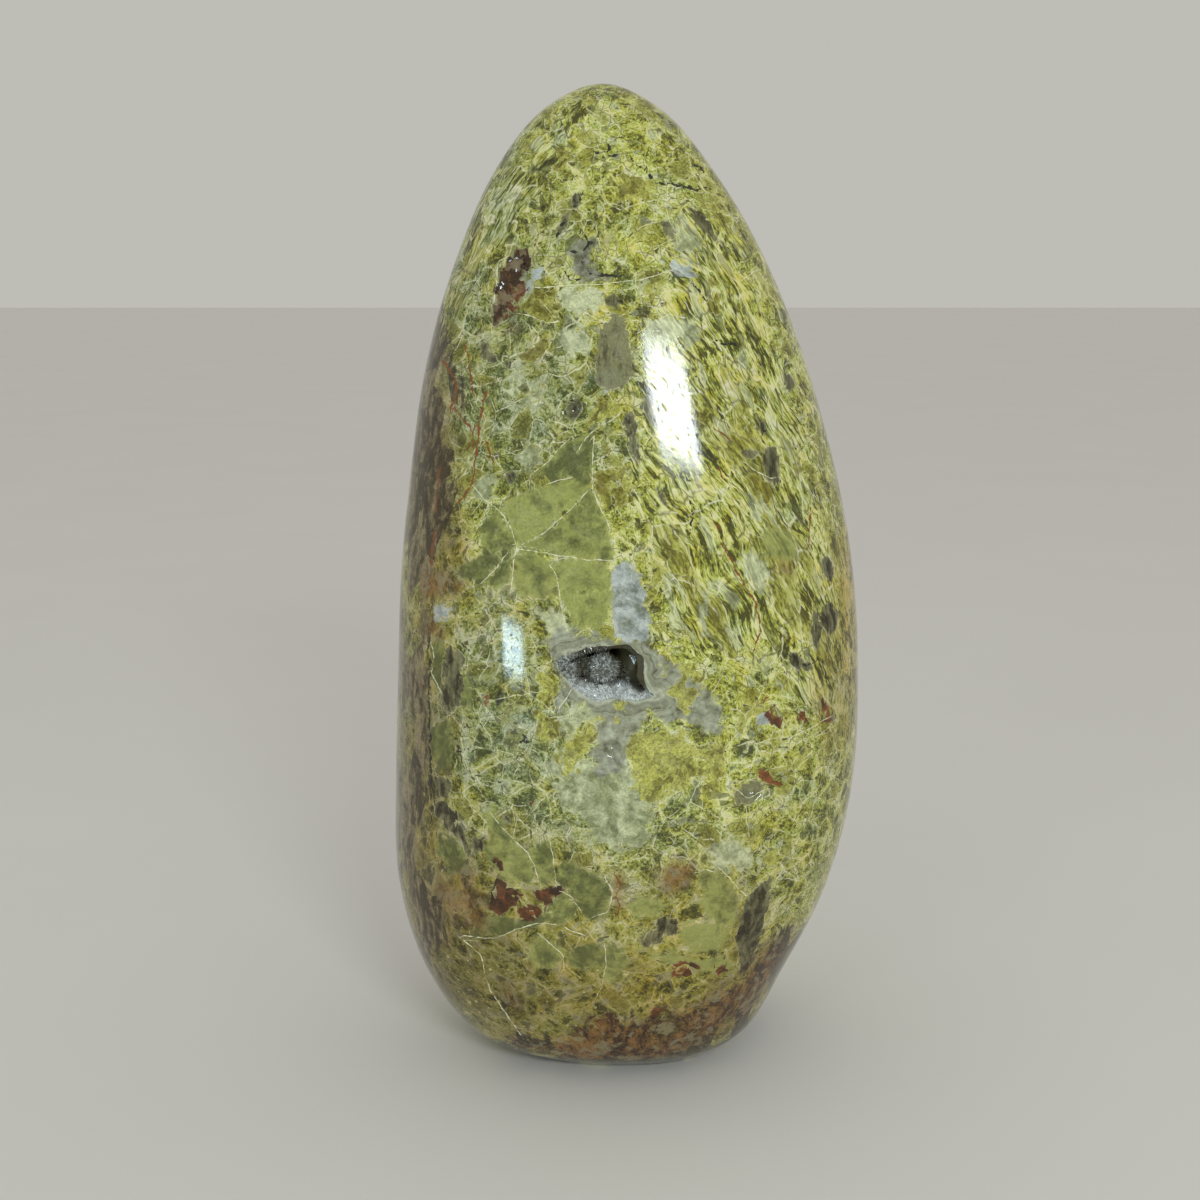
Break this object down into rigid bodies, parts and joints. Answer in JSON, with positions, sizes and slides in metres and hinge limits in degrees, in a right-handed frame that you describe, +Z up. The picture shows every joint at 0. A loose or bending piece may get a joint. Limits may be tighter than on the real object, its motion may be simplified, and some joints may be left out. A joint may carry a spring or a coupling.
{
  "type": "green opal freeform",
  "caption": "Polished upright freeform of green moss opal with a drusy quartz hollow in its front, standing on a small flat spot for display.",
  "frame": {"origin": "middle of the stone's bounding box in plan, on the surface that it stands on", "axes": "+Z up along the stone's height, +X to the viewer's right as the hollow is faced, -Y out of the front where the hollow opens"},
  "size_m": [0.0634, 0.0512, 0.13],
  "materials": {
    "polished_opal": "hand polished to a wet gloss, yellow-green moss opal with grey agate, olive translucent panes and rust veins",
    "quartz_druze": "fine sparkling quartz crystals, natural unpolished faces"
  },
  "bodies": {
    "root": {"opal_freeform": "polished_opal", "druzy_crust": "quartz_druze"}
  },
  "joints": []
}
